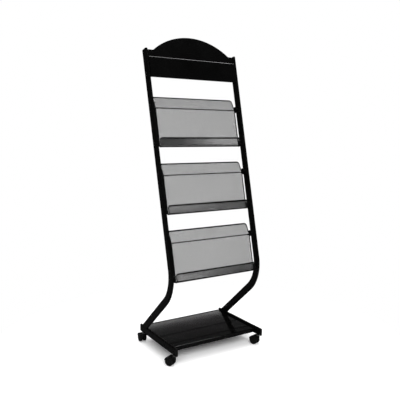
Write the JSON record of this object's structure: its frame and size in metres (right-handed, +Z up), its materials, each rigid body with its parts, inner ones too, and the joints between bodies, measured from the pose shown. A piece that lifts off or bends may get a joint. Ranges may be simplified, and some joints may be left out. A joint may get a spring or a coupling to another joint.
{
  "type": "periodical display rack",
  "caption": "Rolling display rack: mesh magazine pockets one above the other on bent, leaning posts, with an arched header board, a low tray and swivel casters.",
  "frame": {"origin": "on the floor, below the middle of the rack's bounding box", "axes": "+X to the right seen from the front, +Y to the back, +Z up; the posts lean back"},
  "size_m": [0.5412, 0.3922, 1.4607],
  "materials": {
    "frame_paint": "semi-gloss black powder coat",
    "header_paint": "semi-gloss black powder coat",
    "tray_paint": "glossy black powder coat",
    "mesh_paint": "black powder coat on fine steel mesh",
    "wire_paint": "semi-gloss black powder coat on steel wire",
    "black_fasteners": "black oxide, slightly shiny",
    "cap_plastic": "fine matt black moulding",
    "caster_plastic": "satin black moulding",
    "wheel_plastic": "matt black nylon tread",
    "plated_steel": "zinc-plated steel"
  },
  "bodies": {
    "rack_frame": {"left_post": "frame_paint", "right_post": "frame_paint", "post_caps": "cap_plastic", "left_rail": "frame_paint", "right_rail": "frame_paint", "rail_caps": "cap_plastic", "caster_sockets": "cap_plastic", "bottom_tray": "tray_paint", "tray_bolts": "black_fasteners", "tray_nuts": "black_fasteners", "header_panel": "header_paint", "header_board": "header_paint", "header_bolts": "black_fasteners", "header_nuts": "black_fasteners", "bottom_pocket_frame_wire": "wire_paint", "bottom_pocket_lip_wire": "wire_paint", "bottom_pocket_crossbar": "wire_paint", "bottom_pocket_bottom_rod": "wire_paint", "bottom_pocket_mesh": "mesh_paint", "bottom_pocket_clips": "wire_paint", "bottom_pocket_bolts": "black_fasteners", "bottom_pocket_nuts": "black_fasteners", "middle_pocket_frame_wire": "wire_paint", "middle_pocket_lip_wire": "wire_paint", "middle_pocket_crossbar": "wire_paint", "middle_pocket_bottom_rod": "wire_paint", "middle_pocket_mesh": "mesh_paint", "middle_pocket_clips": "wire_paint", "middle_pocket_bolts": "black_fasteners", "middle_pocket_nuts": "black_fasteners", "top_pocket_frame_wire": "wire_paint", "top_pocket_lip_wire": "wire_paint", "top_pocket_crossbar": "wire_paint", "top_pocket_bottom_rod": "wire_paint", "top_pocket_mesh": "mesh_paint", "top_pocket_clips": "wire_paint", "top_pocket_bolts": "black_fasteners", "top_pocket_nuts": "black_fasteners", "caster_stems": "plated_steel"},
    "front_left_swivel": {"caster_front_left_housing": "caster_plastic"},
    "front_left_wheels": {"caster_front_left_axle": "plated_steel", "caster_front_left_wheels": "wheel_plastic"},
    "front_right_swivel": {"caster_front_right_housing": "caster_plastic"},
    "front_right_wheels": {"caster_front_right_axle": "plated_steel", "caster_front_right_wheels": "wheel_plastic"},
    "rear_left_swivel": {"caster_rear_left_housing": "caster_plastic"},
    "rear_left_wheels": {"caster_rear_left_axle": "plated_steel", "caster_rear_left_wheels": "wheel_plastic"},
    "rear_right_swivel": {"caster_rear_right_housing": "caster_plastic"},
    "rear_right_wheels": {"caster_rear_right_axle": "plated_steel", "caster_rear_right_wheels": "wheel_plastic"}
  },
  "joints": [
    {"name": "front_left_swivel_turn", "type": "hinge", "parent": "rack_frame", "child": "front_left_swivel", "pos_m": [-0.235, -0.17043, 0.0454], "axis": [0, 0, 1], "continuous": true},
    {"name": "front_left_wheel_roll", "type": "hinge", "parent": "front_left_swivel", "child": "front_left_wheels", "pos_m": [-0.2447, -0.15294, 0.02], "axis": [0.8746, 0.4848, 0], "continuous": true},
    {"name": "front_right_swivel_turn", "type": "hinge", "parent": "rack_frame", "child": "front_right_swivel", "pos_m": [0.235, -0.17043, 0.0454], "axis": [0, 0, 1], "continuous": true},
    {"name": "front_right_wheel_roll", "type": "hinge", "parent": "front_right_swivel", "child": "front_right_wheels", "pos_m": [0.22962, -0.15117, 0.02], "axis": [0.9632, 0.2689, 0], "continuous": true},
    {"name": "rear_left_swivel_turn", "type": "hinge", "parent": "rack_frame", "child": "rear_left_swivel", "pos_m": [-0.235, 0.15037, 0.0454], "axis": [0, 0, 1], "continuous": true},
    {"name": "rear_left_wheel_roll", "type": "hinge", "parent": "rear_left_swivel", "child": "rear_left_wheels", "pos_m": [-0.23353, 0.17031, 0.02], "axis": [0.9973, -0.0732, 0], "continuous": true},
    {"name": "rear_right_swivel_turn", "type": "hinge", "parent": "rack_frame", "child": "rear_right_swivel", "pos_m": [0.235, 0.15037, 0.0454], "axis": [0, 0, 1], "continuous": true},
    {"name": "rear_right_wheel_roll", "type": "hinge", "parent": "rear_right_swivel", "child": "rear_right_wheels", "pos_m": [0.2447, 0.16786, 0.02], "axis": [0.8746, -0.4848, 0], "continuous": true}
  ]
}
